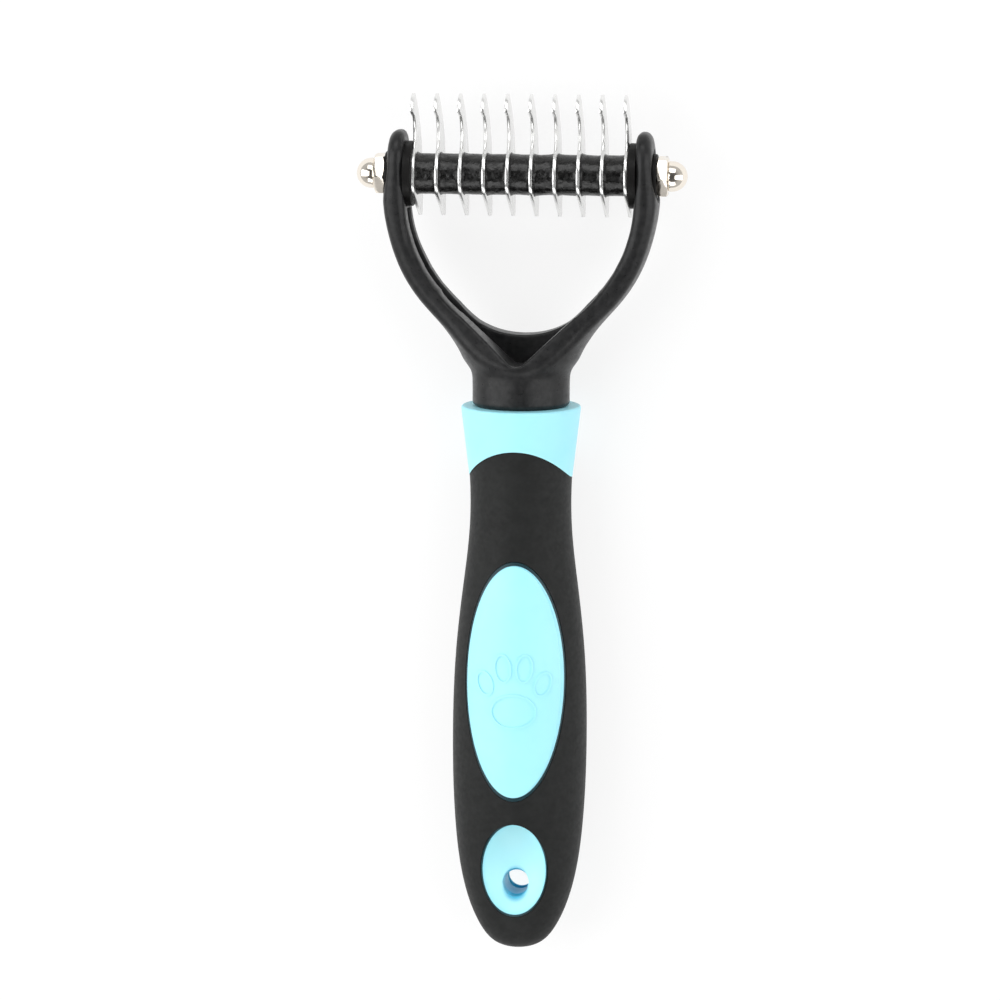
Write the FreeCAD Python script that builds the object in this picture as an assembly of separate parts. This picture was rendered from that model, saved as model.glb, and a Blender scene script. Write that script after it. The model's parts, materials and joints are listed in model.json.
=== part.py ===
import FreeCAD, Part
import math
import os

from FreeCAD import Matrix, Placement, Rotation, Vector

# Undercoat rake for pets: an overmoulded handle, a moulded yoke, and a row of hooked blades
# clamped on a keyed axle between the yoke's arms by an acorn nut at each end.
#
# Row frame: the rake lies on its back. +X is across the blade row, +Y runs from the butt to the
# blade tips, +Z is up, out of the thumb pad. "Station" means millimetres from the butt along Y.
# The head is drawn in its own straight frame, which starts at the centre of the collar's rim,
# and head_to_row() leans it with the collar.

# ---- driving dimensions, mm ----
OVERALL_LENGTH = 165.0
BLADE_ROW_WIDTH = 41.0

# handle
REST_HEIGHT = 11.79            # height of the handle's centreline where its bend starts
BEND_START = 20.0              # stations between which the centreline bends
BEND_END = 90.0
BUTT_SLOPE = -math.tan(math.radians(2.2))
HEAD_LEAN_DEG = 1.5
GRIP_WALL = 1.8                # thickness of the soft grip over the core
SKIN_END = 99.7
WINDOW_GAP = 0.14              # groove between the grip and each window of the core
WINDOW_DEEP = 8.0              # windows are cut down to this height, under the core's surface
COLLAR_FOOT = 91.7
COLLAR_RIM = 105.5
COLLAR_FOOT_R = 9.85
COLLAR_RIM_R = 11.45
COLLAR_EDGE = 0.45
GRIP_ARCH_TOP = 97.6           # the grip's upper edge is an arch, highest at the front and back
GRIP_ARCH_R = 11.4
PAD_STATION = 53.4
PAD_HALF_W = 9.6
PAD_HALF_L = 23.0
PAD_RIM_W = 0.8
PAD_PROUD = 0.35
RELIEF_H = 0.22                # the paw's lines stand this high on the pad
RELIEF_W = 0.4
EYE_STATION = 16.5             # oval windows around the hang hole, front and back
EYE_HALF_W = 6.4
EYE_HALF_L = 9.2
DISH_HALF_W = 7.0              # the dish is the bottom of this ellipsoid
DISH_HALF_L = 9.9
DISH_DEEP = 6.0
DISH_REACH = 14.9
HOLE_STATION = 13.2
HOLE_R = 2.4
HOLE_MOUTH_HALF_W = 2.6
HOLE_MOUTH_HALF_L = 3.4
HOLE_MOUTH_LOW = 2.6           # half heights between which the round hole opens to its oval mouth
HOLE_MOUTH_HIGH = 4.8
EYE_FLOOR = 4.2                # the dishes leave this half thickness of wall around the hole

# yoke, stations from the collar's rim
BASE_R = 9.3
BASE_H = 6.0
TENON_R = 6.0
TENON_LEN = 15.0
TENON_FLAT = 5.2
BASE_CHAMFER = 0.55
TENON_RIDGE = 0.25
TENON_RIDGE_PITCH = 4.0
AXLE_STATION = 44.1
ARM_TOP = 52.4
ARM_HALF_DEPTH = 5.9
ARM_END_R = 4.6                # round of the arms' ends, seen from the side
DRUM_HALF_DEPTH = 10.6
OUTER_ROUND = 2.0              # soft edges: round the outside of the bow, and inside its arms' ends
INNER_ROUND = 1.5
ARM_OUTER_SEAT = 25.4          # flat under each nut's washer
OUTER_SEAT_R = 5.0
ARM_INNER_SEAT = 22.1          # flat under each end bush
CHANNEL_BACK = -2.1            # the inner channel lies between these heights
CHANNEL_FRONT = 1.6
CHANNEL_DEPTH = 1.7
CHANNEL_TOP = 37.4
NOTCH_BOTTOM = 8.4             # lowest point of the V between the front ribs
WEB_BOTTOM = 13.9              # lowest point of the rear web's arc

# axle and what is on it
AXLE_R = 2.0
AXLE_FLAT = 1.6
THREAD_R = 1.98
THREAD_START = 25.5
AXLE_HALF_LENGTH = 29.4
AXLE_TIP = 0.4
RUNNING_GAP = 0.05
BLADE_COUNT = 10
BLADE_T = 0.6
BEVEL_T = 0.2
SPACER_R = 4.3
SPACER_WAIST = 0.15
SPACER_RIM = 0.45
BUSH_FLANGE_R = 6.2
BUSH_BARREL_R = 3.2
WASHER_R = 4.2
WASHER_T = 0.5
NUT_FLATS = 7.0
NUT_TURN_DEG = 36.5            # how the tightened nuts stand: one corner is near the top
HEX_T = 2.1
DOME_R = 2.9
DOME_COLLAR = 0.7
NUT_CHAMFER = 0.35

SPACER_LEN = (BLADE_ROW_WIDTH - BLADE_COUNT * BLADE_T) / (BLADE_COUNT - 1)
ROW_HALF = BLADE_ROW_WIDTH / 2
HEX_SEAT = ARM_OUTER_SEAT + WASHER_T
DOME_SEAT = HEX_SEAT + HEX_T

# The handle's outline: station, half width, half depth.
HANDLE_STATIONS = [
    (0.0, 0.0, 0.0),
    (0.13, 1.6, 1.3),
    (1.4, 4.9, 4.0),
    (5.2, 7.85, 6.4),
    (12.5, 10.55, 8.5),
    (24.0, 12.3, 10.3),
    (42.0, 12.95, 11.1),
    (58.0, 12.4, 10.9),
    (71.0, 11.0, 10.2),
    (81.5, 9.85, 9.7),
    (92.5, 9.85, 9.85),
    (SKIN_END, 10.55, 10.55),
]

X = Vector(1, 0, 0)
Y = Vector(0, 1, 0)
Z = Vector(0, 0, 1)
ORIGIN = Vector(0, 0, 0)
FAR = 60.0


# ---- frames ----
def row_y(station):
    return station - OVERALL_LENGTH / 2


def centre_z(station):
    """Height of the handle's centreline: straight, then a parabola, then straight."""
    head_slope = math.tan(math.radians(HEAD_LEAN_DEG))
    bent = min(max(station - BEND_START, 0.0), BEND_END - BEND_START)
    bend = (head_slope - BUTT_SLOPE) * bent ** 2 / (2 * (BEND_END - BEND_START))
    past = (head_slope - BUTT_SLOPE) * max(station - BEND_END, 0.0)
    return REST_HEIGHT + BUTT_SLOPE * (station - BEND_START) + bend + past


def head_to_row(shape):
    rim_centre = Vector(0, row_y(COLLAR_RIM), centre_z(COLLAR_RIM))
    placed = shape.copy()
    placed.Placement = Placement(rim_centre, Rotation(X, HEAD_LEAN_DEG)).multiply(shape.Placement)
    return placed


# ---- small helpers ----
def spline(points, start=None, end=None):
    """Smooth curve through the points, with chord lengths as its parameters."""
    lengths = [0.0]
    for a, b in zip(points[:-1], points[1:]):
        lengths.append(lengths[-1] + (b - a).Length)
    curve = Part.BSplineCurve()
    if start is None:
        curve.interpolate(Points=points, Parameters=lengths)
    else:
        curve.interpolate(Points=points, Parameters=lengths, InitialTangent=start, FinalTangent=end)
    return curve


def arc(a, b, c):
    return Part.Arc(a, b, c).toShape()


def line(a, b):
    return Part.LineSegment(a, b).toShape()


def polygon_edges(points):
    return [line(a, b) for a, b in zip(points[:-1], points[1:])]


def revolve_y(edges):
    """Solid of revolution about Y from a closed outline drawn in the XY plane, X being radius."""
    return Part.Face(Part.Wire(edges)).revolve(ORIGIN, Y, 360)


def revolve_x(points):
    """Solid of revolution about X from (x, radius) corners; the outline closes itself."""
    corners = [Vector(x, r, 0) for x, r in points]
    return Part.Face(Part.Wire(polygon_edges(corners + corners[:1]))).revolve(ORIGIN, X, 360)


def oval_column(half_w, half_l, station, low, high, x=0.0, turn=0.0):
    """Upright column of elliptical section; half_l runs along Y before it is turned."""
    long_y = half_l >= half_w
    ellipse = Part.Ellipse(ORIGIN, max(half_w, half_l), min(half_w, half_l)).toShape()
    face = Part.Face(Part.Wire(ellipse))
    face.rotate(ORIGIN, Z, (90 if long_y else 0) + turn)
    face.translate(Vector(x, row_y(station), low))
    return face.extrude(Vector(0, 0, high - low))


def slab(x, y, z):
    """Box from (low, high) pairs."""
    box = Part.makeBox(x[1] - x[0], y[1] - y[0], z[1] - z[0])
    box.translate(Vector(x[0], y[0], z[0]))
    return box


def mirror_x(shape):
    return shape.mirror(ORIGIN, X)


def keyed_bar(radius, flat, x_low, x_high):
    """Round bar along X with two flats, facing the head frame's front and back."""
    bar = Part.makeCylinder(radius, x_high - x_low, Vector(x_low, 0, 0), X)
    return bar.common(slab((x_low, x_high), (-radius, radius), (-flat, flat)))


# ---- handle ----
def handle_skin(inset):
    """The handle's closed form, shrunk by inset (or grown, where it is negative).

    One surface: an interpolated outline in (station, half width, half depth), swept round
    the nine-pole ellipse, with each ring lifted to the bent centreline.
    """
    rows = []
    for station, half_w, half_d in HANDLE_STATIONS:
        shift = inset * max(0.0, 1 - station / BEND_START)
        taken = inset if half_w else 0.0
        rows.append(Vector(station + shift, half_w - taken, half_d - taken))
    outline = spline(rows)
    ring_angles = [math.radians(45 * i) for i in range(9)]
    ring_reach = [1.0 if i % 2 == 0 else math.sqrt(2) for i in range(9)]
    ring_weights = [1.0 if i % 2 == 0 else math.sqrt(0.5) for i in range(9)]
    poles = []
    for pole in outline.getPoles():
        ring = []
        for angle, reach in zip(ring_angles, ring_reach):
            across = pole.y * reach * math.cos(angle)
            up = centre_z(pole.x) + pole.z * reach * math.sin(angle)
            ring.append(Vector(across, row_y(pole.x), up))
        poles.append(ring)
    surface = Part.BSplineSurface()
    surface.buildFromPolesMultsKnots(
        poles, outline.getMultiplicities(), [3, 2, 2, 2, 3],
        outline.getKnots(), [0, 0.25, 0.5, 0.75, 1],
        False, False, outline.Degree, 2, [ring_weights] * len(poles))
    side = surface.toShape()
    end_y = row_y(SKIN_END)
    rim = [e for e in side.Edges if abs(e.BoundBox.YMin - end_y) < 0.01]
    cap = Part.Face(Part.Wire(rim))
    shell = Part.makeShell([side, cap])
    shell.sewShape()
    return Part.makeSolid(shell)


def under_arch():
    """Everything on the butt side of the grip's arched upper edge."""
    centre = row_y(GRIP_ARCH_TOP - GRIP_ARCH_R)
    cylinder = Part.makeCylinder(GRIP_ARCH_R, 2 * FAR, Vector(0, centre, -FAR), Z)
    butt_side = slab((-FAR, FAR), (row_y(-10), centre), (-FAR, FAR))
    return cylinder.fuse(butt_side)


def eye_dish(side):
    """Bowl-shaped recess around the hang hole, on the front (side 1) or the back (side -1)."""
    bowl = Part.makeSphere(1.0)
    stretch = Matrix()
    stretch.scale(Vector(DISH_HALF_W, DISH_HALF_L, DISH_DEEP))
    bowl = bowl.transformGeometry(stretch)
    middle = centre_z(EYE_STATION)
    bowl.translate(Vector(0, row_y(EYE_STATION), middle + side * (EYE_FLOOR + DISH_DEEP)))
    heights = sorted((middle, middle + side * DISH_REACH))
    return bowl.common(slab((-FAR, FAR), (-2 * FAR, FAR), heights))


def hang_hole():
    """Round through hole with a mouth that opens to an oval on both faces."""
    middle = centre_z(HOLE_STATION)
    y = row_y(HOLE_STATION)
    cutter = Part.makeCylinder(HOLE_R, 2 * FAR, Vector(0, y, middle - FAR), Z)
    round_wire = Part.Wire(Part.makeCircle(HOLE_R, ORIGIN, Z))
    oval = Part.Ellipse(ORIGIN, HOLE_MOUTH_HALF_L, HOLE_MOUTH_HALF_W).toShape()
    oval.rotate(ORIGIN, Z, 90)
    oval_wire = Part.Wire(oval)
    for side in (1, -1):
        low = round_wire.copy()
        low.rotate(ORIGIN, Z, 90)
        low.translate(Vector(0, y, middle + side * HOLE_MOUTH_LOW))
        high = oval_wire.copy()
        high.translate(Vector(0, y, middle + side * HOLE_MOUTH_HIGH))
        cutter = cutter.fuse(Part.makeLoft([low, high], True, True))
    return cutter


def paw_outline():
    """Outline of a generic paw print: five rings, a wide heel pad and four toes."""
    heel = [(0.0, -5.6, 4.5, 3.4, 0)]
    toes = []
    for side in (1, -1):
        toes.append((side * 5.6, -0.3, 1.65, 2.5, -20 * side))
        toes.append((side * 2.1, 2.7, 1.75, 2.8, -6 * side))
    rings = []
    for x, along, half_w, half_l, turn in heel + toes:
        station = PAD_STATION + along
        outer = oval_column(half_w, half_l, station, REST_HEIGHT, FAR, x, turn)
        inner = oval_column(half_w - RELIEF_W, half_l - RELIEF_W, station, REST_HEIGHT, FAR, x, turn)
        rings.append(outer.cut(inner))
    return rings


def collar():
    """Flared round collar at the head end of the core, in the head frame."""
    foot = COLLAR_FOOT - COLLAR_RIM
    edge = COLLAR_EDGE
    on_round = edge * (1 - math.sqrt(0.5))
    outline = [
        line(Vector(0, foot, 0), Vector(COLLAR_FOOT_R, foot, 0)),
        line(Vector(COLLAR_FOOT_R, foot, 0), Vector(COLLAR_RIM_R, -edge, 0)),
        arc(Vector(COLLAR_RIM_R, -edge, 0),
            Vector(COLLAR_RIM_R - on_round, -on_round, 0),
            Vector(COLLAR_RIM_R - edge, 0, 0)),
        line(Vector(COLLAR_RIM_R - edge, 0, 0), ORIGIN),
        line(ORIGIN, Vector(0, foot, 0)),
    ]
    return revolve_y(outline)


def handle():
    """The moulded core and the soft grip over it."""
    outer = handle_skin(0)
    inner = handle_skin(GRIP_WALL)
    gap = WINDOW_GAP
    pad = oval_column(PAD_HALF_W, PAD_HALF_L, PAD_STATION, WINDOW_DEEP, FAR)
    pad_gap = oval_column(PAD_HALF_W + gap, PAD_HALF_L + gap, PAD_STATION, WINDOW_DEEP, FAR)
    eye = oval_column(EYE_HALF_W, EYE_HALF_L, EYE_STATION, -FAR, FAR)
    eye_gap = oval_column(EYE_HALF_W + gap, EYE_HALF_L + gap, EYE_STATION, -FAR, FAR)

    sleeve = outer.common(under_arch()).cut([inner, pad_gap, eye_gap])

    pad_field = oval_column(
        PAD_HALF_W - PAD_RIM_W, PAD_HALF_L - PAD_RIM_W, PAD_STATION, WINDOW_DEEP, FAR)
    raised = handle_skin(-PAD_PROUD).common(pad_field)
    relief = handle_skin(-PAD_PROUD - RELIEF_H).common(Part.makeCompound(paw_outline()))
    head_end = head_to_row(collar()).cut(under_arch())
    core = inner.fuse([outer.common(pad), outer.common(eye), raised, relief, head_end])
    core = core.cut([eye_dish(1), eye_dish(-1), hang_hole(), head_to_row(tenon())])
    return core, sleeve


# ---- yoke ----
def tenon():
    """Round stem with two flats and three catch ridges; the core's socket is its exact match."""
    corners = [(0, -TENON_LEN), (TENON_R - 0.8, -TENON_LEN), (TENON_R, -TENON_LEN + 1.2)]
    for i in range(3):
        low = -TENON_LEN + 2.5 + i * TENON_RIDGE_PITCH
        corners += [(TENON_R, low), (TENON_R + TENON_RIDGE, low + 1.5), (TENON_R, low + 1.5)]
    corners += [(TENON_R, 0.3), (0, 0.3)]
    points = [Vector(r, s, 0) for r, s in corners]
    stem = revolve_y(polygon_edges(points + points[:1]))
    return stem.common(slab((-TENON_FLAT, TENON_FLAT), (-FAR, FAR), (-FAR, FAR)))


def goblet():
    """Solid of revolution with the yoke's outer outline: a drum that flares into a bowl."""
    top = ARM_TOP + 2
    side = spline([
        Vector(BASE_R, BASE_H, 0), Vector(10.5, 8.8, 0), Vector(14.3, 14.4, 0),
        Vector(19.2, 20.1, 0), Vector(22.9, 25.9, 0), Vector(25.4, 33.2, 0),
        Vector(26.35, 40.0, 0), Vector(26.2, 46.2, 0), Vector(25.4, top, 0),
    ], Vector(0, 1, 0), Vector(-0.2, 1, 0)).toShape()
    corners = [
        Vector(25.4, top, 0), Vector(0, top, 0), ORIGIN, Vector(BASE_R - BASE_CHAMFER, 0, 0),
        Vector(BASE_R, BASE_CHAMFER, 0), Vector(BASE_R, BASE_H, 0)]
    return revolve_y(polygon_edges(corners) + [side])


def side_profile():
    """Extrusion along X of the yoke's side outline: full depth at the drum, slim at the arms."""
    deep = DRUM_HALF_DEPTH
    h = ARM_HALF_DEPTH
    r = ARM_END_R
    on_round = r * (1 - math.sqrt(0.5))
    half = [
        line(Vector(0, -1, deep), Vector(0, 5.0, deep)),
        spline([
            Vector(0, 5.0, deep), Vector(0, 9.0, 9.35), Vector(0, 15.0, 7.3),
            Vector(0, 22.0, 6.15), Vector(0, 30.0, h),
        ], Vector(0, 1, -0.2), Vector(0, 1, 0)).toShape(),
        line(Vector(0, 30.0, h), Vector(0, ARM_TOP - r, h)),
        arc(Vector(0, ARM_TOP - r, h),
            Vector(0, ARM_TOP - on_round, h - on_round),
            Vector(0, ARM_TOP, h - r)),
    ]
    other = [edge.mirror(ORIGIN, Z) for edge in half]
    ends = [line(Vector(0, ARM_TOP, h - r), Vector(0, ARM_TOP, r - h)),
            line(Vector(0, -1, -deep), Vector(0, -1, deep))]
    face = Part.Face(Part.Wire(Part.__sortEdges__(half + other + ends)))
    face.translate(Vector(-FAR, 0, 0))
    return face.extrude(Vector(2 * FAR, 0, 0))


def bow_inside(grow=0.0):
    """Face of the bow's opening, drawn between the arms; grow pushes its sides outwards."""
    g = grow
    end = Vector(21.9 + g, ARM_TOP + 1, 0)
    right = spline([
        Vector(0, WEB_BOTTOM - g, 0), Vector(8.7 + 0.5 * g, 16.6 - 0.87 * g, 0),
        Vector(15.3 + 0.75 * g, 23.4 - 0.65 * g, 0), Vector(20.0 + 0.9 * g, 30.6 - 0.4 * g, 0),
        Vector(21.7 + g, 38.0, 0), Vector(22.0 + g, 44.8, 0), end,
    ], X, Vector(-0.05, 1, 0)).toShape()
    edges = [right, mirror_x(right), line(end, Vector(-end.x, end.y, 0))]
    return Part.Face(Part.Wire(Part.__sortEdges__(edges)))


def notch_inside(grow=0.0):
    """Face of the V between the front ribs, with a small round at its foot."""
    g = grow
    side = Vector(12.9 + 0.7 * g, 19.4 - 0.7 * g, 0)
    knee = Vector(1.3, NOTCH_BOTTOM + 0.45 - 0.8 * g, 0)
    bottom = Vector(0, NOTCH_BOTTOM - g, 0)
    top = Vector(14.8 + 0.7 * g, 22.4, 0)
    right = [arc(Vector(-knee.x, knee.y, 0), bottom, knee), line(knee, side), line(side, top)]
    left = [line(top, Vector(-top.x, top.y, 0)),
            line(Vector(-top.x, top.y, 0), Vector(-side.x, side.y, 0)),
            line(Vector(-side.x, side.y, 0), Vector(-knee.x, knee.y, 0))]
    return Part.Face(Part.Wire(right + left))


def through(face, low, high):
    """Extrude a face drawn at height 0 from low to high."""
    moved = face.copy()
    moved.translate(Vector(0, 0, low))
    return moved.extrude(Vector(0, 0, high - low))


def outer_creases(body):
    """Edges where the goblet's flare meets the side outline, above the drum."""
    found = []
    for edge in body.Edges:
        box = edge.BoundBox
        on_seam = box.ZLength < 0.01 and abs(box.ZMin) < 0.01
        straight = isinstance(edge.Curve, Part.Line)
        if box.YMin > BASE_H + 1 and not straight and not on_seam:
            found.append(edge)
    return found


def inner_end_edges(body):
    """Edges where the opening meets the rounded ends of the arms."""
    found = []
    for edge in body.Edges:
        box = edge.BoundBox
        nearest, farthest = sorted((abs(box.XMin), abs(box.XMax)))
        on_opening = nearest > 21.5 and farthest < 22.3
        if on_opening and box.YMin > ARM_TOP - ARM_END_R - 0.6:
            found.append(edge)
    return found


def yoke():
    body = goblet().common(side_profile())
    body = body.makeFillet(OUTER_ROUND, outer_creases(body))
    body = body.cut([through(bow_inside(), -FAR, FAR), through(notch_inside(), 0, FAR)])
    body = body.makeFillet(INNER_ROUND, inner_end_edges(body))
    channel = through(bow_inside(CHANNEL_DEPTH), CHANNEL_BACK, CHANNEL_FRONT)
    pocket = through(notch_inside(CHANNEL_DEPTH), CHANNEL_BACK, CHANNEL_FRONT)
    below_boss = slab((-FAR, FAR), (0, CHANNEL_TOP), (-FAR, FAR))
    body = body.cut(channel.fuse(pocket).common(below_boss))
    axis = Vector(0, AXLE_STATION, 0)
    for side in (1, -1):
        out = X * side
        inner_seat = Part.makeCylinder(BUSH_FLANGE_R + 0.1, ARM_INNER_SEAT, axis, out)
        outer_seat = Part.makeCylinder(OUTER_SEAT_R, 5, axis + out * ARM_OUTER_SEAT, out)
        bore = Part.makeCylinder(BUSH_BARREL_R, FAR, axis, out)
        body = body.cut([inner_seat, outer_seat, bore])
    return body.fuse(tenon()).removeSplitter()


# ---- axle, blades, spacers, bushes, washers and nuts, drawn about the axle's axis ----
def axle():
    keyed = keyed_bar(AXLE_R, AXLE_FLAT, -THREAD_START, THREAD_START)
    threaded = revolve_x([
        (THREAD_START, 0), (THREAD_START, THREAD_R), (AXLE_HALF_LENGTH - AXLE_TIP, THREAD_R),
        (AXLE_HALF_LENGTH, THREAD_R - AXLE_TIP), (AXLE_HALF_LENGTH, 0)])
    return keyed.fuse([threaded, mirror_x(threaded)])


def blade():
    """Hooked blade: point and barb to the front, hollow ground edge below the barb."""
    def at(z, y):
        return Vector(0, y, z)
    tip = at(3.1, 15.5)
    barb = at(6.3, 12.2)
    notch = at(3.9, 11.3)
    throat = at(2.9, 4.6)
    belly = at(5.3, -0.3)
    chin = at(4.3, -3.5)
    heel = at(-5.4, -8.4)
    heel_back = at(-6.9, -7.1)
    spine = at(-5.0, 7.2)
    outline = [
        arc(tip, at(5.3, 14.4), barb),
        line(barb, notch),
        arc(notch, at(1.85, 8.1), throat),
        arc(throat, at(4.75, 2.3), belly),
        arc(belly, at(5.2, -2.1), chin),
        line(chin, heel),
        arc(heel, at(-6.55, -8.2), heel_back),
        arc(heel_back, at(-7.0, 0.4), spine),
        arc(spine, at(-1.3, 12.0), tip),
    ]
    plate = Part.Face(Part.Wire(outline)).extrude(X * BLADE_T)
    plate.translate(X * (-BLADE_T / 2))
    ground = [e for e in plate.Edges if is_ground_edge(e, notch, throat)]
    plate = plate.makeChamfer(BEVEL_T, ground)
    key = keyed_bar(AXLE_R + RUNNING_GAP, AXLE_FLAT + RUNNING_GAP, -BLADE_T, BLADE_T)
    return plate.cut(key)


def is_ground_edge(edge, notch, throat):
    """True for the two long edges of the hollow cutting edge, one on each face of the plate."""
    box = edge.BoundBox
    flat = box.XLength < 0.01
    return flat and abs(box.YMax - notch.y) < 0.05 and abs(box.YMin - throat.y) < 0.05


def spacer():
    half = SPACER_LEN / 2
    bore = AXLE_R + 2 * RUNNING_GAP
    waist = SPACER_R - SPACER_WAIST
    return revolve_x([
        (-half, bore), (-half, SPACER_R), (SPACER_RIM - half, waist),
        (half - SPACER_RIM, waist), (half, SPACER_R), (half, bore)])


def end_bush():
    bore = AXLE_R + 2 * RUNNING_GAP
    edge = 0.25
    return revolve_x([
        (ROW_HALF, bore), (ROW_HALF, BUSH_FLANGE_R - edge), (ROW_HALF + edge, BUSH_FLANGE_R),
        (ARM_INNER_SEAT, BUSH_FLANGE_R), (ARM_INNER_SEAT, BUSH_BARREL_R),
        (ARM_OUTER_SEAT, BUSH_BARREL_R), (ARM_OUTER_SEAT, bore)])


def seat_washer():
    bore = AXLE_R + 2 * RUNNING_GAP
    return revolve_x([
        (ARM_OUTER_SEAT, bore), (ARM_OUTER_SEAT, WASHER_R), (HEX_SEAT - 0.15, WASHER_R),
        (HEX_SEAT, WASHER_R - 0.15), (HEX_SEAT, bore)])


def nut_hex():
    across_corners_r = NUT_FLATS / 2 / math.cos(math.radians(30))
    corners = []
    for i in range(7):
        angle = math.radians(NUT_TURN_DEG + 60 * i)
        corners.append(Vector(HEX_SEAT, across_corners_r * math.cos(angle),
                              across_corners_r * math.sin(angle)))
    prism = Part.Face(Part.Wire(polygon_edges(corners))).extrude(X * HEX_T)
    chamfer_r = NUT_FLATS / 2 - 0.05
    slope = NUT_CHAMFER
    turned = revolve_x([
        (HEX_SEAT, 0), (HEX_SEAT, chamfer_r), (HEX_SEAT + slope, across_corners_r + 0.05),
        (DOME_SEAT - slope, across_corners_r + 0.05), (DOME_SEAT, chamfer_r), (DOME_SEAT, 0)])
    bore = Part.makeCylinder(THREAD_R + RUNNING_GAP, FAR, ORIGIN, X)
    return prism.common(turned).cut(bore)


def nut_dome():
    base = DOME_SEAT + 0.18
    shoulder = DOME_SEAT + DOME_COLLAR
    tip = shoulder + DOME_R
    mid = DOME_R * math.sqrt(0.5)
    outline = [
        line(Vector(DOME_SEAT, 0, 0), Vector(DOME_SEAT, DOME_R - 0.2, 0)),
        line(Vector(DOME_SEAT, DOME_R - 0.2, 0), Vector(base, DOME_R, 0)),
        line(Vector(base, DOME_R, 0), Vector(shoulder, DOME_R, 0)),
        arc(Vector(shoulder, DOME_R, 0), Vector(shoulder + mid, mid, 0), Vector(tip, 0, 0)),
        line(Vector(tip, 0, 0), Vector(DOME_SEAT, 0, 0)),
    ]
    cap = Part.Face(Part.Wire(outline)).revolve(ORIGIN, X, 360)
    well = Part.makeCylinder(THREAD_R + RUNNING_GAP, AXLE_HALF_LENGTH + 0.25, ORIGIN, X)
    return cap.cut(well)


def on_axle(shape, x=0.0):
    moved = shape.copy()
    moved.translate(Vector(x, AXLE_STATION, 0))
    return head_to_row(moved)


# ---- the pieces ----
def main():
    os.makedirs("parts", exist_ok=True)
    core, sleeve = handle()
    pieces = {
        "handle_core": core,
        "grip_sleeve": sleeve,
        "yoke": head_to_row(yoke()),
        "axle": on_axle(axle()),
    }
    one_blade = blade()
    one_spacer = spacer()
    pitch = BLADE_T + SPACER_LEN
    for i in range(BLADE_COUNT):
        pieces["blade_%02d" % (i + 1)] = on_axle(one_blade, (i - (BLADE_COUNT - 1) / 2) * pitch)
    for i in range(BLADE_COUNT - 1):
        pieces["spacer_%d" % (i + 1)] = on_axle(one_spacer, (i + 1 - BLADE_COUNT / 2) * pitch)
    pairs = {"end_bush": end_bush(), "seat_washer": seat_washer(),
             "nut_hex": nut_hex(), "nut_dome": nut_dome()}
    for name, shape in pairs.items():
        pieces[name + "_right"] = on_axle(shape)
        pieces[name + "_left"] = on_axle(mirror_x(shape))
    for name, shape in pieces.items():
        if not shape.isValid():
            raise ValueError(name + " is not a valid solid")
        shape.exportStep("parts/" + name + ".step")
        print(name, len(shape.Solids), round(shape.Volume, 1))
    lean = math.radians(HEAD_LEAN_DEG)
    print("axle axis at y, z:", row_y(COLLAR_RIM) + AXLE_STATION * math.cos(lean),
          centre_z(COLLAR_RIM) + AXLE_STATION * math.sin(lean))


main()
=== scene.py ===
import json
import math
import random

import bmesh
import bpy
from mathutils import Euler, Matrix, Vector, noise

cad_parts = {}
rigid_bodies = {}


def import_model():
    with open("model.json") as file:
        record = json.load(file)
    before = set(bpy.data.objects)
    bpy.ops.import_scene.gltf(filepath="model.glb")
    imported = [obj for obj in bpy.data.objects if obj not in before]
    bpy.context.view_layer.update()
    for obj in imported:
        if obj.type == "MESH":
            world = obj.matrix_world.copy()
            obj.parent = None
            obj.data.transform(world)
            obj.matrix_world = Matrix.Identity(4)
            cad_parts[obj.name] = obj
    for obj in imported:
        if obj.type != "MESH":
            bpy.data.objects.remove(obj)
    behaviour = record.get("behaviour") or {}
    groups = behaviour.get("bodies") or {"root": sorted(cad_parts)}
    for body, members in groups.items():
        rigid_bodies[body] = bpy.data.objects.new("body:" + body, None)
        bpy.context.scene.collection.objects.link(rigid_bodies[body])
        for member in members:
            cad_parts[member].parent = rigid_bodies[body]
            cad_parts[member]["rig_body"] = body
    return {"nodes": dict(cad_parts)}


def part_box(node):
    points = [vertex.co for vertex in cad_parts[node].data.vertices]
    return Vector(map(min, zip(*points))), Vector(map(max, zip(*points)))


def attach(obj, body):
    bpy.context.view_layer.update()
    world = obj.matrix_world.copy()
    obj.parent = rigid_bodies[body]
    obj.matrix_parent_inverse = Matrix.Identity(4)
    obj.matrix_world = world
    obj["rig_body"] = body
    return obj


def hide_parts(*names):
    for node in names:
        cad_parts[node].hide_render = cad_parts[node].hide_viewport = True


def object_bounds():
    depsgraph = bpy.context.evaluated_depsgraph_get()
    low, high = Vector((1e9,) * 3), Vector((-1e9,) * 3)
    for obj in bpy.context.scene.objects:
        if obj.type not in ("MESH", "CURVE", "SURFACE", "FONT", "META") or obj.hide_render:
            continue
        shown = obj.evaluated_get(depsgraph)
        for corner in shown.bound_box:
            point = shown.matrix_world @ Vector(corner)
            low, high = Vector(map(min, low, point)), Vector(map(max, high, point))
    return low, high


# An undercoat rake for pets, lying on its back on a white table under soft studio light.
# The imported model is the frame. The handle's pieces stay and get their finish here. The spacers,
# the axle and the washers are replaced by pieces with moulding flaws and a thread, the blades and
# nuts by copies with softened edges, and the yoke by a copy with moulded edges and fitted arms.

MM = 0.001

# ---- camera: above the rake, a little towards its blades and its right side ----
CAMERA_TILT_DEG = 7.6
CAMERA_YAW_DEG = 7.0
CAMERA_ROLL_DEG = 0.26
CAMERA_DISTANCE = 0.900
CAMERA_LENS_MM = 169.0
CAMERA_AIM = Vector((-3.96, 4.62, 12.0)) * MM

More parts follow.
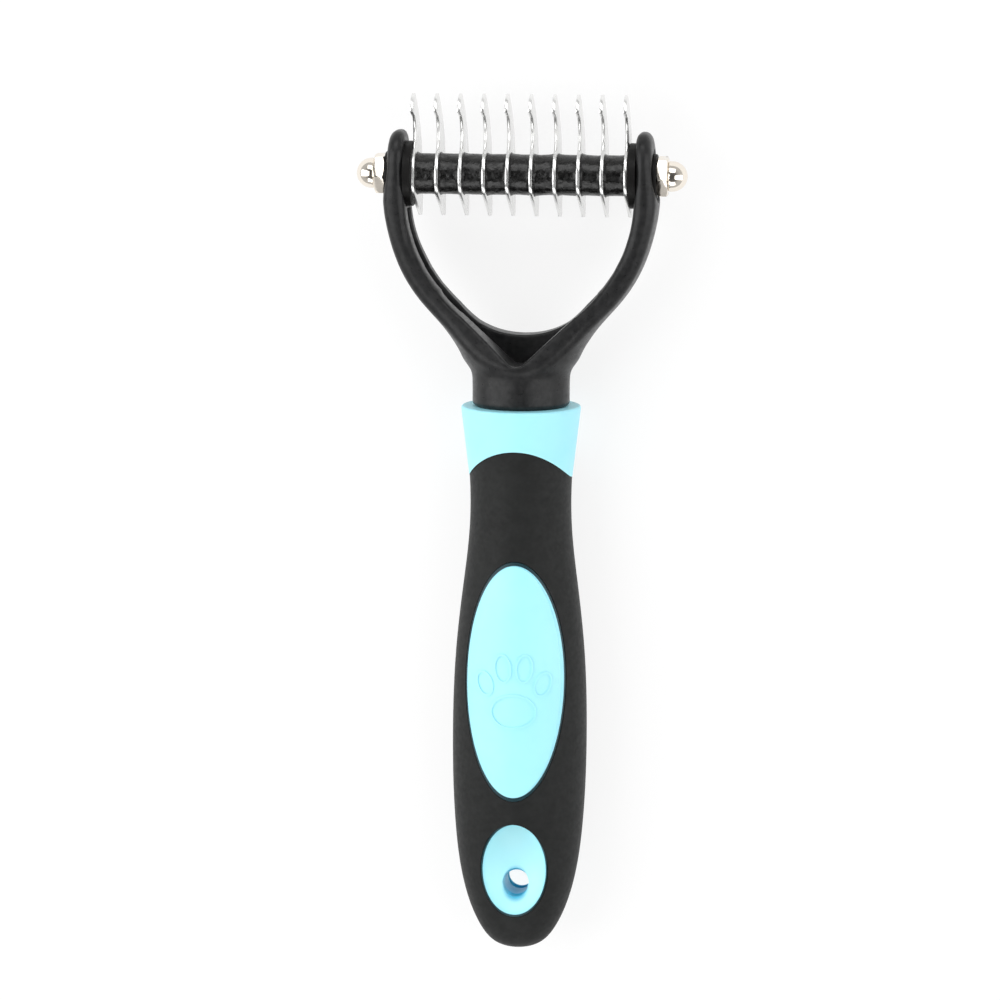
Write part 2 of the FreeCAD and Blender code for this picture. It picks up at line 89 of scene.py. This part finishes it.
# ---- rubber spacers ----
SPACER_RIM_R = 4.08 * MM
SPACER_WAIST_R = 3.86 * MM
SPACER_BORE_R = 2.1 * MM
SPACER_SIDES = 96
SPACER_ROWS = 30
SPACER_SKIN_LENGTH = 0.985      # part of the spacer's length that its uneven skin takes
RIM_CROWDING = 0.85             # rows of the mesh lie closer together towards the rims
RIM_SHARPNESS = 5
RIM_LEAN = 0.05                 # most that one spacer's rims stand out of square
NOISE_RADIUS = 3.9              # radius at which the skin's noise is read
# (noise per millimetre, height in millimetres) of the skin's unevenness, and of its rims'
BROAD = (0.55, 0.05)
LUMPS = (1.6, 0.030)
FINE = (4.5, 0.010)
RAGGED = (2.4, 0.09)

# ---- thread at the axle's ends ----
THREAD_PITCH = 0.7 * MM
THREAD_CREST_R = 1.98 * MM
THREAD_DEPTH = 0.28 * MM
THREAD_LENGTH = 3.9 * MM
THREAD_SIDES = 48
THREAD_STEPS_PER_TURN = 10
THREAD_STEEPNESS = 2.4          # how soon the thread's flank reaches its flat crest
THREAD_RUNOUT = 0.05 * MM
AXLE_FLAT = 1.6 * MM
AXLE_TIP = 0.4 * MM

# ---- yoke, in millimetres in its own frame, which starts at the collar's rim ----
HEAD_LEAN_DEG = 1.5
AXLE_STATION = 44.1
YOKE_VOXEL = 0.28 * MM
ARM_TAPER_START = 39.0          # above this station the arms' outsides draw in
ARM_TAPER = 0.085
ARM_INSIDE = 22.1
ARM_OUTSIDE = 26.2
FLARE_STATION = 8.2             # the drum flares a little wider round this station
FLARE_SPREAD = 1.9
FLARE_WIDER = 0.5
FLARE_RADIUS = 10.5
BOW_FOOT = 13.9                 # lowest point of the bow's inner edge
BOW_SQUARE = 0.03332            # the edge rises with the square and the fourth power of x
BOW_FOURTH = 3.1e-5
BOW_REACH = 3.0                 # the edge's shift fades out over this distance into the rib
NOTCH_KNEE = (1.3, 8.85)        # the front ribs' V runs straight from its foot to these corners
NOTCH_SIDE = (12.9, 19.4)
NOTCH_TOP = (14.8, 22.4)
LIP_BACK = 0.6                  # heights over which the back edge's shift gives way to the front's
LIP_FRONT = 1.6
BLEND_ACROSS = (11.0, 18.0)     # between these, the V's corner with the bow is blended away
BLEND_DEPTH = 2.2
BLEND_PASSES = 24
SMOOTHING = 0.5
SMOOTHING_PASSES = 4
# (distance from the middle, outward shift, upward shift) of the bow's inner edge at the back
BOW_SHIFT = (
    (0.0, 0.0, -0.7), (8.4, 0.3, -0.7), (12.0, 0.3, -0.35), (15.3, 0.5, -0.4),
    (17.4, 0.55, -0.1), (19.0, 0.3, 0.0), (20.6, 0.0, 0.0))
# and of the front ribs' inner edges
FRONT_SHIFT = (
    (0.0, 0.0, 0.0), (7.5, 0.0, 0.1), (12.9, 0.05, 0.2), (13.8, 0.2, -0.1), (15.3, 0.5, -0.4),
    (17.4, 0.55, -0.1), (19.0, 0.3, 0.0), (20.6, 0.0, 0.0))

# ---- softened edges and seat washers ----
BLADE_EDGE = 0.06 * MM
NUT_EDGE = 0.10 * MM
WELD = 0.001 * MM
FLAT_WITHIN = math.radians(0.5)
SHARP_FROM = math.radians(25)
WASHER_INNER_X = 24.7 * MM
WASHER_EDGE = 0.15 * MM
WASHER_SIDES = 64

# ---- windows of the blue core, in millimetres ----
EYE_Y = -66.0
EYE_HALF = (6.4, 9.2)
PAD_Y = -29.1
PAD_HALF = (9.6, 23.0)
HOLE_Y = -69.3
# half-size of the painted shade tinted into the hang hole's mouth
PAINTED_MOUTH_SHADE_HALF = (2.6, 3.4)
# width and colour of the painted shade in the seam round each window
GROOVE_SHADE_WIDTH = 0.32
PAINTED_GROOVE_SHADE = (0.003, 0.030, 0.040)
FLATTEN = 1.0e6                 # takes height out of an oval's distance

# ---- floor: mostly its own glow, and a little light that the object can shade ----
FLOOR_GLOW = 0.80
FLOOR_ALBEDO = 0.20
FLOOR_REACH = 3.0
FLOOR_GAP = 0.05 * MM

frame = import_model()
cad_low, cad_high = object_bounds()


# ---- material helpers ----
class Finish:
    """A Principled material whose textures are laid out in the object's own metres."""

    def __init__(self, name, colour, roughness, metallic=0.0):
        self.material = bpy.data.materials.new(name)
        self.material.use_nodes = True
        self.nodes = self.material.node_tree.nodes
        self.links = self.material.node_tree.links
        self.shader = self.nodes["Principled BSDF"]
        self.set("Base Color", (*colour, 1.0))
        self.set("Roughness", roughness)
        self.set("Metallic", metallic)
        self.bump = None

    def set(self, socket, value):
        self.shader.inputs[socket].default_value = value

    def noise(self, grain_mm, detail=2.0, stretch=(1.0, 1.0, 1.0)):
        """Noise whose features are about grain_mm across, longer along a stretched axis."""
        place = self.nodes.new("ShaderNodeTexCoord")
        mapping = self.nodes.new("ShaderNodeMapping")
        mapping.inputs["Scale"].default_value = [1 / (s * grain_mm * MM) for s in stretch]
        texture = self.nodes.new("ShaderNodeTexNoise")
        texture.inputs["Scale"].default_value = 1.0
        texture.inputs["Detail"].default_value = detail
        self.links.new(place.outputs["Object"], mapping.inputs["Vector"])
        self.links.new(mapping.outputs["Vector"], texture.inputs["Vector"])
        return texture.outputs["Fac"]

    def vary_roughness(self, texture, low, high):
        spread = self.nodes.new("ShaderNodeMapRange")
        spread.inputs["From Min"].default_value = 0.3
        spread.inputs["From Max"].default_value = 0.7
        spread.inputs["To Min"].default_value = low
        spread.inputs["To Max"].default_value = high
        self.links.new(texture, spread.inputs["Value"])
        self.links.new(spread.outputs["Result"], self.shader.inputs["Roughness"])

    def vary_colour(self, texture, first, second):
        ramp = self.nodes.new("ShaderNodeValToRGB")
        ramp.color_ramp.elements[0].position = 0.35
        ramp.color_ramp.elements[0].color = (*first, 1.0)
        ramp.color_ramp.elements[1].position = 0.65
        ramp.color_ramp.elements[1].color = (*second, 1.0)
        self.links.new(texture, ramp.inputs["Fac"])
        self.links.new(ramp.outputs["Color"], self.shader.inputs["Base Color"])

    def oval_distance(self, centre_mm, half_mm):
        """How far a point is from an upright oval's axis, 1 being on the oval."""
        place = self.nodes.new("ShaderNodeTexCoord")
        shape = self.nodes.new("ShaderNodeMapping")
        shape.vector_type = "TEXTURE"
        shape.inputs["Location"].default_value = (centre_mm[0] * MM, centre_mm[1] * MM, 0.0)
        shape.inputs["Scale"].default_value = (half_mm[0] * MM, half_mm[1] * MM, FLATTEN)
        length = self.nodes.new("ShaderNodeVectorMath")
        length.operation = "LENGTH"
        self.links.new(place.outputs["Object"], shape.inputs["Vector"])
        self.links.new(shape.outputs["Vector"], length.inputs[0])
        return length.outputs["Value"]

    def fade(self, value, start, end, low, high):
        step = self.nodes.new("ShaderNodeMapRange")
        step.interpolation_type = "SMOOTHSTEP"
        step.inputs["From Min"].default_value = start
        step.inputs["From Max"].default_value = end
        step.inputs["To Min"].default_value = low
        step.inputs["To Max"].default_value = high
        self.links.new(value, step.inputs["Value"])
        return step.outputs["Result"]

    def oval_mask(self, centre_mm, half_mm, edge):
        """1 inside an upright oval, 0 outside, changing between the two relative distances."""
        return self.fade(self.oval_distance(centre_mm, half_mm), edge[0], edge[1], 1.0, 0.0)

    def oval_ring(self, centre_mm, half_mm, width_mm):
        """1 on a narrow band just inside an upright oval."""
        distance = self.oval_distance(centre_mm, half_mm)
        width = width_mm / half_mm[0]
        inner = self.fade(distance, 1 - width, 1 - 0.8 * width, 0.0, 1.0)
        outer = self.fade(distance, 1 + 0.5 * width, 1 + width, 1.0, 0.0)
        both = self.nodes.new("ShaderNodeMath")
        both.operation = "MULTIPLY"
        self.links.new(inner, both.inputs[0])
        self.links.new(outer, both.inputs[1])
        return both.outputs["Value"]

    def tint(self, mask, colour):
        """Mix a colour over what the base colour already is, where the mask is 1."""
        base = self.shader.inputs["Base Color"]
        mix = self.nodes.new("ShaderNodeMix")
        mix.data_type = "RGBA"
        first, second = [socket for socket in mix.inputs if socket.type == "RGBA"]
        result = [socket for socket in mix.outputs if socket.type == "RGBA"][0]
        second.default_value = (*colour, 1.0)
        self.links.new(base.links[0].from_socket, first)
        self.links.new(mask, mix.inputs[0])
        self.links.new(result, base)

    def add_bump(self, texture, height_mm, strength=1.0):
        bump = self.nodes.new("ShaderNodeBump")
        bump.inputs["Distance"].default_value = height_mm * MM
        bump.inputs["Strength"].default_value = strength
        self.links.new(texture, bump.inputs["Height"])
        if self.bump:
            self.links.new(self.bump.outputs["Normal"], bump.inputs["Normal"])
        self.links.new(bump.outputs["Normal"], self.shader.inputs["Normal"])
        self.bump = bump


# ---- finishes ----
def blue_plastic():
    """Pale blue moulded polypropylene: satin, a little translucent, with a fine spark texture."""
    look = Finish("blue_plastic", (0.39, 0.835, 0.95), 0.42)
    look.set("IOR", 1.46)
    look.set("Subsurface Weight", 0.12)
    look.set("Subsurface Radius", (0.5, 0.9, 1.0))
    look.set("Subsurface Scale", 0.6 * MM)
    look.vary_colour(look.noise(9.0, 3.0), (0.378, 0.825, 0.94), (0.402, 0.845, 0.955))
    # painted light: the whole eye window, dish included, is tinted a paler blue so the dish looks
    # evenly lit rather than shaded
    dish_painted_light = look.oval_mask((0.0, EYE_Y), EYE_HALF, (0.88, 0.96))
    look.tint(dish_painted_light, (0.47, 0.90, 0.98))
    # painted shade: the hang hole's mouth is tinted a darker, deeper blue for the shade and blue
    # bounce light inside it
    mouth_painted_shade = look.oval_mask((0.0, HOLE_Y), PAINTED_MOUTH_SHADE_HALF, (0.70, 1.12))
    look.tint(mouth_painted_shade, (0.045, 0.44, 0.66))
    # painted shade: a dark band round the eye and pad windows stands in for the shade in the seam
    # between the core and the grip sleeve
    look.tint(look.oval_ring((0.0, EYE_Y), EYE_HALF, GROOVE_SHADE_WIDTH), PAINTED_GROOVE_SHADE)
    look.tint(look.oval_ring((0.0, PAD_Y), PAD_HALF, GROOVE_SHADE_WIDTH), PAINTED_GROOVE_SHADE)
    look.vary_roughness(look.noise(1.6, 3.0), 0.38, 0.50)
    look.add_bump(look.noise(0.16, 2.0), 0.006, 0.5)
    return look.material


def grip_rubber():
    """Black soft-touch elastomer: matt, with a fine grain and a dusty sheen at its edges."""
    look = Finish("grip_rubber", (0.012, 0.0128, 0.0125), 0.62)
    look.set("IOR", 1.40)
    look.set("Specular IOR Level", 0.38)
    look.set("Sheen Weight", 0.05)
    look.set("Sheen Roughness", 0.45)
    look.vary_colour(look.noise(2.5, 4.0), (0.0060, 0.0066, 0.0064), (0.0095, 0.0103, 0.010))
    look.vary_roughness(look.noise(0.9, 3.0), 0.56, 0.70)
    look.add_bump(look.noise(0.9, 2.0), 0.012, 0.5)
    look.add_bump(look.noise(0.2, 2.0), 0.010, 0.6)
    return look.material


def black_plastic():
    """Glass-filled black nylon: semi-matt with flow mottling and a slight orange peel."""
    look = Finish("black_plastic", (0.020, 0.020, 0.0205), 0.40)
    look.set("IOR", 1.48)
    look.set("Specular IOR Level", 0.22)
    look.vary_colour(look.noise(1.4, 4.0), (0.012, 0.0122, 0.0126), (0.021, 0.021, 0.0215))
    look.vary_roughness(look.noise(0.8, 4.0), 0.26, 0.42)
    look.add_bump(look.noise(1.6, 2.0), 0.012, 0.5)
    look.add_bump(look.noise(0.22, 2.0), 0.008, 0.5)
    return look.material


def spacer_rubber():
    """Black moulded rubber with flash, wrinkles and blotchy shine."""
    look = Finish("spacer_rubber", (0.010, 0.010, 0.010), 0.36)
    look.set("IOR", 1.50)
    look.set("Specular IOR Level", 0.42)
    look.vary_colour(look.noise(0.7, 4.0), (0.0012, 0.0012, 0.0012), (0.008, 0.0078, 0.0076))
    look.vary_roughness(look.noise(0.8, 4.0), 0.14, 0.40)
    look.add_bump(look.noise(1.3, 3.0), 0.150, 1.0)
    look.add_bump(look.noise(0.14, 2.0), 0.012, 0.6)
    return look.material


def bush_rubber_painted_shade():
    """Smooth black rubber of the end bushes and washers, darker than the spacers: less shine of its
    own, and a very dark base colour that is partly painted shade for the shade these parts sit in.
    """
    look = Finish("bush_rubber_painted_shade", (0.0035, 0.0032, 0.003), 0.45)
    look.set("IOR", 1.45)
    look.set("Specular IOR Level", 0.20)
    look.vary_roughness(look.noise(0.8, 3.0), 0.38, 0.58)
    look.add_bump(look.noise(0.5, 3.0), 0.015, 0.5)
    return look.material


def blade_steel():
    """Stainless blade stock: bright, with grinding lines along the blade."""
    look = Finish("blade_steel", (0.84, 0.84, 0.83), 0.18, 1.0)
    lines = look.noise(0.05, 2.0, (1.0, 60.0, 2.0))
    look.vary_roughness(look.noise(1.5, 2.0, (1.0, 6.0, 1.0)), 0.24, 0.34)
    look.add_bump(lines, 0.0006, 0.25)
    return look.material


def nut_nickel():
    """Nickel plate with a warm cast, fine handling scratches and clouded patches."""
    look = Finish("nut_nickel", (0.89, 0.825, 0.735), 0.12, 1.0)
    look.vary_roughness(look.noise(0.8, 3.0), 0.07, 0.17)
    look.add_bump(look.noise(0.05, 2.0, (8.0, 1.0, 1.0)), 0.0006, 0.25)
    return look.material


def axle_steel():
    """Zinc-plated steel."""
    look = Finish("axle_steel", (0.62, 0.62, 0.60), 0.28, 1.0)
    look.vary_roughness(look.noise(0.4, 3.0), 0.22, 0.38)
    look.add_bump(look.noise(0.08, 2.0), 0.003, 0.4)
    return look.material


# ---- mesh helpers ----
def mesh_object(name, vertices, faces, material, smooth=True):
    mesh = bpy.data.meshes.new(name)
    mesh.from_pydata(vertices, [], faces)
    mesh.validate()
    mesh.materials.append(material)
    for polygon in mesh.polygons:
        polygon.use_smooth = smooth
    piece = bpy.data.objects.new(name, mesh)
    bpy.context.scene.collection.objects.link(piece)
    return piece


def closed_rings(rings, closed_ends):
    """Quads between successive rings of points; the list joins up, or each end gets a cap."""
    sides = len(rings[0])
    vertices = [point for ring in rings for point in ring]
    faces = []
    count = len(rings)
    for i in range(count if not closed_ends else count - 1):
        a = i * sides
        b = ((i + 1) % count) * sides
        for j in range(sides):
            k = (j + 1) % sides
            faces.append((a + j, a + k, b + k, b + j))
    if closed_ends:
        faces.append(tuple(reversed(range(sides))))
        faces.append(tuple((count - 1) * sides + j for j in range(sides)))
    return vertices, faces


def axis_point(centre, along, radius, angle):
    return centre + Vector((along, radius * math.cos(angle), radius * math.sin(angle)))


def stand_in(name, mesh, node):
    """A new piece that rides where the node does and takes its place."""
    piece = bpy.data.objects.new(name, mesh)
    bpy.context.scene.collection.objects.link(piece)
    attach(piece, frame["nodes"][node]["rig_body"])
    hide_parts(node)
    return piece


def softened(name, node, edge, material):
    """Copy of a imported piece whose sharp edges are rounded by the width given."""
    mesh = frame["nodes"][node].data.copy()
    work = bmesh.new()
    work.from_mesh(mesh)
    bmesh.ops.remove_doubles(work, verts=work.verts, dist=WELD)
    bmesh.ops.dissolve_limit(work, angle_limit=FLAT_WITHIN, verts=work.verts, edges=work.edges)
    work.to_mesh(mesh)
    work.free()
    mesh.materials.clear()
    mesh.materials.append(material)
    mesh.shade_smooth()
    piece = stand_in(name, mesh, node)
    rounding = piece.modifiers.new("rounding", "BEVEL")
    rounding.limit_method = "ANGLE"
    rounding.angle_limit = SHARP_FROM
    rounding.width = edge
    rounding.segments = 2
    rounding.harden_normals = True
    return piece


# ---- yoke ----
def from_table(table, across):
    """Outward and upward shift of an edge, at a distance from the middle."""
    for (a, out_a, up_a), (b, out_b, up_b) in zip(table[:-1], table[1:]):
        if across <= b:
            t = (across - a) / (b - a)
            return Vector((out_a + (out_b - out_a) * t, up_a + (up_b - up_a) * t))
    return Vector((0.0, 0.0))


def on_line(start, end, across):
    return start[1] + (end[1] - start[1]) * (across - start[0]) / (end[0] - start[0])


def near_edge(edge, station):
    """How much of an edge's shift a point takes: all at the edge, none deep in the rib."""
    near = min(1.0, max(0.0, 1 - (edge - station) / BOW_REACH))
    return near * near * (3 - 2 * near)


def edge_stations(across):
    """Stations of the bow's inner edge and of the V between the front ribs."""
    bow = BOW_FOOT + BOW_SQUARE * across ** 2 + BOW_FOURTH * across ** 4
    notch = max(NOTCH_KNEE[1], on_line(NOTCH_KNEE, NOTCH_SIDE, across),
                on_line(NOTCH_SIDE, NOTCH_TOP, across))
    return bow, notch


def at_corner(across, station, height):
    """True on the front ribs' inner edges, near the corner where the V ends in the bow."""
    bow, notch = edge_stations(across)
    beside = BLEND_ACROSS[0] < across < BLEND_ACROSS[1]
    return height > LIP_FRONT and beside and station > min(bow, notch) - BLEND_DEPTH


def fitted(x, station, height):
    """Where a point of the yoke goes: slimmer arm ends, a wider flare and a lower bow."""
    across = abs(x)
    outside = min(1.0, max(0.0, (across - ARM_INSIDE) / (ARM_OUTSIDE - ARM_INSIDE)))
    drawn_in = ARM_TAPER * max(0.0, station - ARM_TAPER_START) * outside
    flare = FLARE_WIDER * math.exp(-((station - FLARE_STATION) / FLARE_SPREAD) ** 2)
    wider = across * flare / FLARE_RADIUS
    shift = Vector((0.0, 0.0))
    if station < AXLE_STATION:
        bow, notch = edge_stations(across)
        front = min(1.0, max(0.0, (height - LIP_BACK) / (LIP_FRONT - LIP_BACK)))
        back_shift = from_table(BOW_SHIFT, across) * near_edge(bow, station)
        front_shift = from_table(FRONT_SHIFT, across) * near_edge(min(bow, notch), station)
        shift = back_shift.lerp(front_shift, front)
    across = across - drawn_in + wider + shift.x
    return math.copysign(across, x), station + shift.y


def moulded_yoke(material):
    """The yoke with the soft edges of a moulding, its outline fitted point by point."""
    rough = bpy.data.objects.new("yoke_source", frame["nodes"]["yoke"].data.copy())
    bpy.context.scene.collection.objects.link(rough)
    remesh = rough.modifiers.new("remesh", "REMESH")
    remesh.mode = "VOXEL"
    remesh.voxel_size = YOKE_VOXEL
    smooth = rough.modifiers.new("smooth", "SMOOTH")
    smooth.factor = SMOOTHING
    smooth.iterations = SMOOTHING_PASSES
    mesh = bpy.data.meshes.new_from_object(rough.evaluated_get(bpy.context.evaluated_depsgraph_get()))
    bpy.data.objects.remove(rough)
    low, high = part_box("axle")
    lean = math.radians(HEAD_LEAN_DEG)
    along = Vector((0.0, math.cos(lean), math.sin(lean)))
    upward = Vector((0.0, -math.sin(lean), math.cos(lean)))
    rim = (low + high) / 2 - along * AXLE_STATION * MM
    blended = []
    for vertex in mesh.vertices:
        offset = vertex.co - rim
        station = offset.dot(along) / MM
        height = offset.dot(upward) / MM
        if at_corner(abs(offset.x) / MM, station, height):
            blended.append(vertex.index)
        x, moved = fitted(offset.x / MM, station, height)
        vertex.co += along * (moved - station) * MM
        vertex.co.x = rim.x + x * MM
    work = bmesh.new()
    work.from_mesh(mesh)
    work.verts.ensure_lookup_table()
    corner = [work.verts[i] for i in blended]
    for _ in range(BLEND_PASSES):
        bmesh.ops.smooth_vert(work, verts=corner, factor=SMOOTHING, use_axis_x=True, use_axis_y=True)
    work.to_mesh(mesh)
    work.free()
    mesh.materials.clear()
    mesh.materials.append(material)
    mesh.shade_smooth()
    return stand_in("moulded_yoke", mesh, "yoke")


def thick_washer(side, material):
    """Rubber washer that fills the space between the arm's tapered outside and the nut."""
    node = "seat_washer_" + side
    low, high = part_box(node)
    centre = (low + high) / 2
    centre.x = 0.0
    sign = 1 if side == "right" else -1
    far = max(abs(low.x), abs(high.x))
    radius = (high.z - low.z) / 2
    bore = radius / 2
    profile = (
        (WASHER_INNER_X, bore), (WASHER_INNER_X, radius - WASHER_EDGE),
        (WASHER_INNER_X + WASHER_EDGE, radius), (far - WASHER_EDGE, radius),
        (far, radius - WASHER_EDGE), (far, bore))
    rings = []
    for x, r in profile if sign > 0 else reversed(profile):
        rings.append([axis_point(centre, sign * x, r, 2 * math.pi * j / WASHER_SIDES)
                      for j in range(WASHER_SIDES)])
    piece = mesh_object("rubber_washer_" + side, *closed_rings(rings, False), material)
    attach(piece, "root")
    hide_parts(node)
    return piece


# ---- rubber spacers ----
def spacer_profile(half):
    """(along, radius, how near the rim) from one end to the other, waisted in the middle."""
    profile = []
    for i in range(SPACER_ROWS + 1):
        t = 2 * i / SPACER_ROWS - 1
        along = half * math.copysign(abs(t) ** RIM_CROWDING, t)
        rim = abs(t) ** RIM_SHARPNESS
        radius = SPACER_WAIST_R + (SPACER_RIM_R - SPACER_WAIST_R) * rim
        profile.append((along, radius, rim))
    return profile


def rubber_spacer(node, seed, material):
    """A short rubber tube with uneven, slightly squashed rims and a lumpy skin."""
    low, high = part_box(node)
    centre = (low + high) / 2
    half = (high.x - low.x) / 2
    chance = random.Random(seed)
    shift = Vector((chance.uniform(0, 50), chance.uniform(0, 50), chance.uniform(0, 50)))
    lean = chance.uniform(-RIM_LEAN, RIM_LEAN)
    rings = []
    for along, radius, rim in spacer_profile(half * SPACER_SKIN_LENGTH):
        ring = []
        for j in range(SPACER_SIDES):
            angle = 2 * math.pi * j / SPACER_SIDES
            around = Vector((
                along / MM, NOISE_RADIUS * math.cos(angle), NOISE_RADIUS * math.sin(angle)))
            bulge = 0.0
            for scale, height in (BROAD, LUMPS, FINE):
                bulge += height * noise.noise(around * scale + shift)
            bulge += rim * RAGGED[1] * noise.noise(around * RAGGED[0] - shift)
            tilt = lean * math.cos(angle) * along
            ring.append(axis_point(centre, along, radius + bulge * MM + tilt, angle))
        rings.append(ring)
    for end in (half, -half):
        ring = []
        for j in range(SPACER_SIDES):
            angle = 2 * math.pi * j / SPACER_SIDES
            ring.append(axis_point(centre, end, SPACER_BORE_R, angle))
        rings.append(ring)
    piece = mesh_object("rubber_" + node, *closed_rings(rings, False), material)
    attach(piece, "root")
    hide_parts(node)
    return piece


# ---- threaded axle ----
def thread_radius(along, angle):
    """Radius of a 60 degree thread with a flat crest, at a point along and round it."""
    turn = (along / THREAD_PITCH - angle / (2 * math.pi)) % 1.0
    rise = min(1.0, THREAD_STEEPNESS * min(turn, 1 - turn))
    return THREAD_CREST_R - THREAD_DEPTH * (1 - rise)


def threaded_axle(material):
    """The keyed axle, with a real thread cut on each end."""
    low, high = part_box("axle")
    centre = (low + high) / 2
    end = (high.x - low.x) / 2
    step = THREAD_PITCH / THREAD_STEPS_PER_TURN
    steps = int(THREAD_LENGTH / step)
    stations = [end - i * step for i in range(steps + 1)]
    rings = []
    for side in (1, -1):
        ordered = stations if side > 0 else list(reversed(stations))
        for distance in ordered:
            ring = []
            for j in range(THREAD_SIDES):
                angle = 2 * math.pi * j / THREAD_SIDES
                limit = THREAD_CREST_R - max(0.0, AXLE_TIP - (end - distance))
                radius = min(thread_radius(distance * side, angle), limit)
                ring.append(axis_point(centre, side * distance, radius, angle))
            rings.append(ring)
        if side > 0:
            for x in (stations[-1] - THREAD_RUNOUT, -stations[-1] + THREAD_RUNOUT):
                rings.append(keyed_ring(centre, x))
    piece = mesh_object("threaded_axle", *closed_rings(rings, True), material)
    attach(piece, "root")
    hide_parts("axle")
    return piece


def keyed_ring(centre, along):
    """Ring of the axle's round section with its two flats."""
    ring = []
    for j in range(THREAD_SIDES):
        angle = 2 * math.pi * j / THREAD_SIDES
        point = axis_point(centre, along, THREAD_CREST_R, angle)
        point.z = centre.z + min(AXLE_FLAT, max(-AXLE_FLAT, point.z - centre.z))
        ring.append(point)
    return ring


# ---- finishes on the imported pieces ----
def dress(node, material):
    piece = frame["nodes"][node]
    piece.data.materials.clear()
    piece.data.materials.append(material)


def dress_all():
    rubber = spacer_rubber()
    bush = bush_rubber_painted_shade()
    steel = blade_steel()
    nickel = nut_nickel()
    dress("handle_core", blue_plastic())
    dress("grip_sleeve", grip_rubber())
    moulded_yoke(black_plastic())
    for node in sorted(frame["nodes"]):
        if node.startswith("blade_"):
            softened("steel_" + node, node, BLADE_EDGE, steel)
        elif node.startswith(("nut_hex", "nut_dome")):
            softened("plated_" + node, node, NUT_EDGE, nickel)
        elif node.startswith("end_bush"):
            dress(node, bush)
    for side in ("right", "left"):
        thick_washer(side, bush)
    spacers = sorted(node for node in frame["nodes"] if node.startswith("spacer_"))
    for seed, node in enumerate(spacers):
        rubber_spacer(node, seed, rubber)
    threaded_axle(axle_steel())


# ---- stage, light and camera ----
def white_floor():
    """A glowing white table top, paper white except in the faint shade under the object."""
    far = FLOOR_REACH
    corners = [(-far, -far, 0), (far, -far, 0), (far, far, 0), (-far, far, 0)]
    look = Finish("white_table", (FLOOR_ALBEDO, FLOOR_ALBEDO, FLOOR_ALBEDO), 0.9)
    look.set("Specular IOR Level", 0.0)
    look.set("Emission Color", (1.0, 1.0, 1.0, 1.0))
    look.set("Emission Strength", FLOOR_GLOW)
    look.vary_roughness(look.noise(4.0, 2.0), 0.85, 0.95)
    floor = mesh_object("table", corners, [(0, 1, 2, 3)], look.material, smooth=False)
    floor.location.z = cad_low.z - FLOOR_GAP


def surroundings():
    """Grey room with a darker ceiling, so that surfaces facing up keep their depth."""
    world = bpy.data.worlds.new("studio")
    bpy.context.scene.world = world
    world.use_nodes = True
    nodes = world.node_tree.nodes
    links = world.node_tree.links
    place = nodes.new("ShaderNodeTexCoord")
    split = nodes.new("ShaderNodeSeparateXYZ")
    ramp = nodes.new("ShaderNodeValToRGB")
    stops = ((0.0, 0.50), (0.30, 0.55), (0.62, 0.42), (0.82, 0.14), (1.0, 0.08))
    while len(ramp.color_ramp.elements) < len(stops):
        ramp.color_ramp.elements.new(0.5)
    for element, (position, level) in zip(ramp.color_ramp.elements, stops):
        element.position = position
        element.color = (level, level, level, 1.0)
    links.new(place.outputs["Generated"], split.inputs["Vector"])
    links.new(split.outputs["Z"], ramp.inputs["Fac"])
    links.new(ramp.outputs["Color"], nodes["Background"].inputs["Color"])


def softbox(name, location, size, watts):
    light = bpy.data.lights.new(name, "AREA")
    light.shape = "RECTANGLE"
    light.size, light.size_y = size
    light.energy = watts
    lamp = bpy.data.objects.new(name, light)
    lamp.location = location
    toward = (cad_low + cad_high) / 2 - Vector(location)
    lamp.rotation_mode = "QUATERNION"
    lamp.rotation_quaternion = toward.to_track_quat("-Z", "Y")
    bpy.context.scene.collection.objects.link(lamp)


def camera():
    data = bpy.data.cameras.new("camera")
    data.lens = CAMERA_LENS_MM
    data.sensor_width = 36.0
    data.clip_start = 0.05
    data.clip_end = 10.0
    eye = bpy.data.objects.new("camera", data)
    tilt = math.radians(CAMERA_TILT_DEG)
    yaw = math.radians(CAMERA_YAW_DEG)
    back = Vector((math.sin(yaw) * math.cos(tilt), math.sin(tilt), math.cos(yaw) * math.cos(tilt)))
    eye.location = CAMERA_AIM + back * CAMERA_DISTANCE
    roll = Matrix.Rotation(math.radians(CAMERA_ROLL_DEG), 3, "Z")
    turn = Euler((-tilt, yaw, 0.0)).to_matrix() @ roll
    eye.rotation_mode = "QUATERNION"
    eye.rotation_quaternion = turn.to_quaternion()
    bpy.context.scene.collection.objects.link(eye)
    bpy.context.scene.camera = eye


dress_all()
white_floor()
surroundings()
softbox("left_softbox", (-0.55, 0.05, 0.50), (0.5, 0.9), 4.0)
softbox("right_softbox", (0.60, 0.00, 0.42), (0.4, 0.9), 2.5)
softbox("head_softbox", (0.0, 0.62, 0.50), (0.7, 0.4), 2.2)
softbox("butt_softbox", (0.0, -0.62, 0.50), (0.7, 0.4), 2.0)
camera()
bpy.context.scene.view_settings.view_transform = "Standard"
